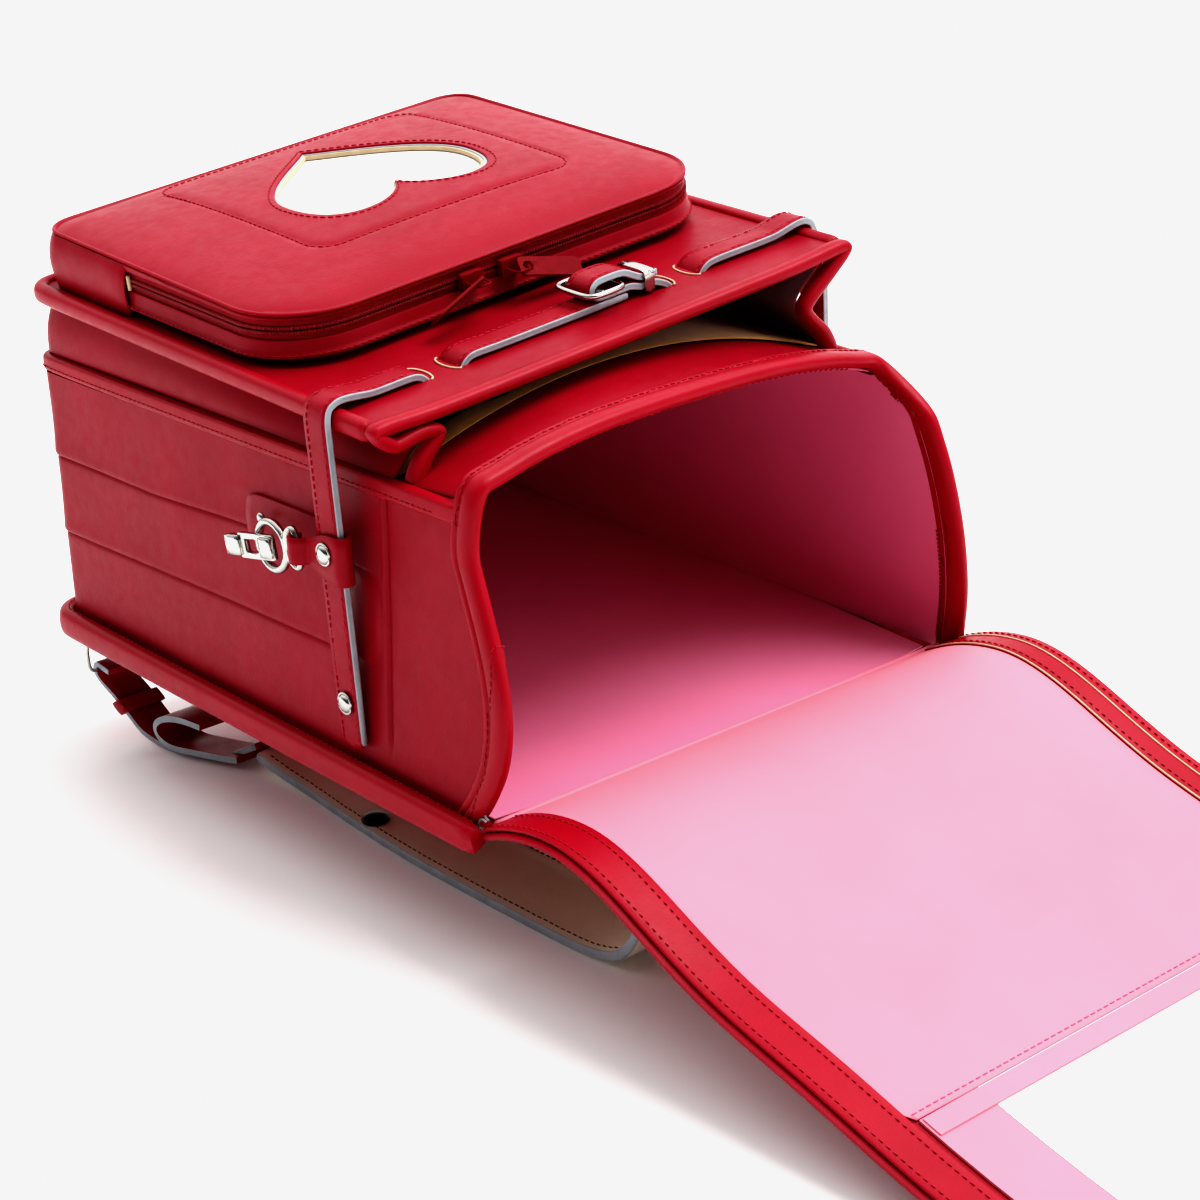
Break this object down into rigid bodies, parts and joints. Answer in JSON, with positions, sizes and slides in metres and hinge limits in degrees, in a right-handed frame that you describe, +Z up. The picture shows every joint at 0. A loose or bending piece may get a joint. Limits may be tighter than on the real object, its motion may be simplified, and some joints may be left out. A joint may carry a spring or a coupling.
{
  "type": "school ransel backpack",
  "caption": "Rigid leather school backpack lying on its shoulder straps, flap open, with zip pocket, side belts and snap hook.",
  "frame": {"origin": "centre of the footprint of the bounding box, on the floor", "axes": "+Z up; +Y along the bag from the open flap's end to the bottom of the bag; +X across, from the side with the snap hook to the other side"},
  "size_m": [0.2696, 0.8342, 0.2624],
  "materials": {
    "crimson_leather": "smooth coated leather with a soft sheen",
    "pink_lining": "soft coated lining",
    "suede": "mustard suede",
    "cream_leather": "smooth cream leather",
    "bright_metal": "polished nickel plate",
    "zip_tape": "woven zip tape with moulded teeth",
    "zip_metal": "zip slider painted dark red",
    "pull_leather": "stitched leather",
    "edge_paint": "leather edge with light grey edge paint",
    "white_inlay": "smooth white leather",
    "clear_sheet": "clear pocket over white card",
    "black_strap": "smooth black",
    "black_metal": "black coated"
  },
  "bodies": {
    "root": {"front_board": "crimson_leather", "board_edging": "crimson_leather", "pocket_base": "crimson_leather", "pocket_zip": "zip_tape", "pocket_lid": "crimson_leather", "heart_edging": "edge_paint", "heart_inlay": "white_inlay", "pocket_tab_near": "crimson_leather", "pocket_tab_far": "crimson_leather", "zip_slider_near": "zip_metal", "zip_slider_far": "zip_metal", "belt_buckle": "bright_metal", "belt_keeper": "bright_metal", "gusset_wall": "crimson_leather", "gusset_lining": "pink_lining", "top_binding": "crimson_leather", "back_panel": "crimson_leather", "back_lining": "pink_lining", "back_rim": "crimson_leather", "opening_binding": "crimson_leather", "front_panel": "crimson_leather", "front_lining": "pink_lining", "divider_facing": "suede", "key_strap": "black_strap", "key_ring": "black_metal", "mid_gusset": "crimson_leather", "pocket_mouth_binding": "crimson_leather", "side_belt_near": "crimson_leather", "side_belt_far": "crimson_leather", "rivet_belt_near": "bright_metal", "rivet_belt_far": "bright_metal", "hook_tab": "crimson_leather", "rivet_hook": "bright_metal", "hook_patch": "crimson_leather", "flap": "crimson_leather", "flap_lining": "pink_lining", "flap_border": "crimson_leather", "timetable_sheet": "clear_sheet", "timetable_frame": "pink_lining", "lock_tongue": "crimson_leather", "lock_plate": "bright_metal", "lock_base": "bright_metal", "strap_carrier": "black_metal", "shoulder_strap_near": "cream_leather", "strap_tail_near": "crimson_leather", "tail_keeper_near": "crimson_leather", "d_ring_near": "bright_metal", "ring_tab_near": "crimson_leather", "shoulder_strap_far": "cream_leather", "strap_tail_far": "crimson_leather", "tail_keeper_far": "crimson_leather", "d_ring_far": "bright_metal", "ring_tab_far": "crimson_leather"},
    "zip_pull_near": {"zip_pull_near": "pull_leather"},
    "zip_pull_far": {"zip_pull_far": "pull_leather"},
    "hook_ring": {"hook_ring": "bright_metal"},
    "hook_lever": {"hook_lever": "bright_metal"}
  },
  "joints": [
    {"name": "near_pull_swing", "type": "hinge", "parent": "root", "child": "zip_pull_near", "pos_m": [-0.03074, 0.20208, 0.23367], "axis": [0, 0.9996, 0.027], "range_deg": [0, 35]},
    {"name": "far_pull_swing", "type": "hinge", "parent": "root", "child": "zip_pull_far", "pos_m": [-0.00364, 0.20202, 0.23597], "axis": [0, 0.9996, 0.027], "range_deg": [-60, 0]},
    {"name": "hook_swing", "type": "hinge", "parent": "root", "child": "hook_ring", "pos_m": [-0.12988, 0.19278, 0.1525], "axis": [0, 0.1908, 0.9816], "range_deg": [0, 90]},
    {"name": "hook_lever_lift", "type": "hinge", "parent": "hook_ring", "child": "hook_lever", "pos_m": [-0.13308, 0.20799, 0.14954], "axis": [0, 0.1908, 0.9816], "range_deg": [0, 40]}
  ]
}
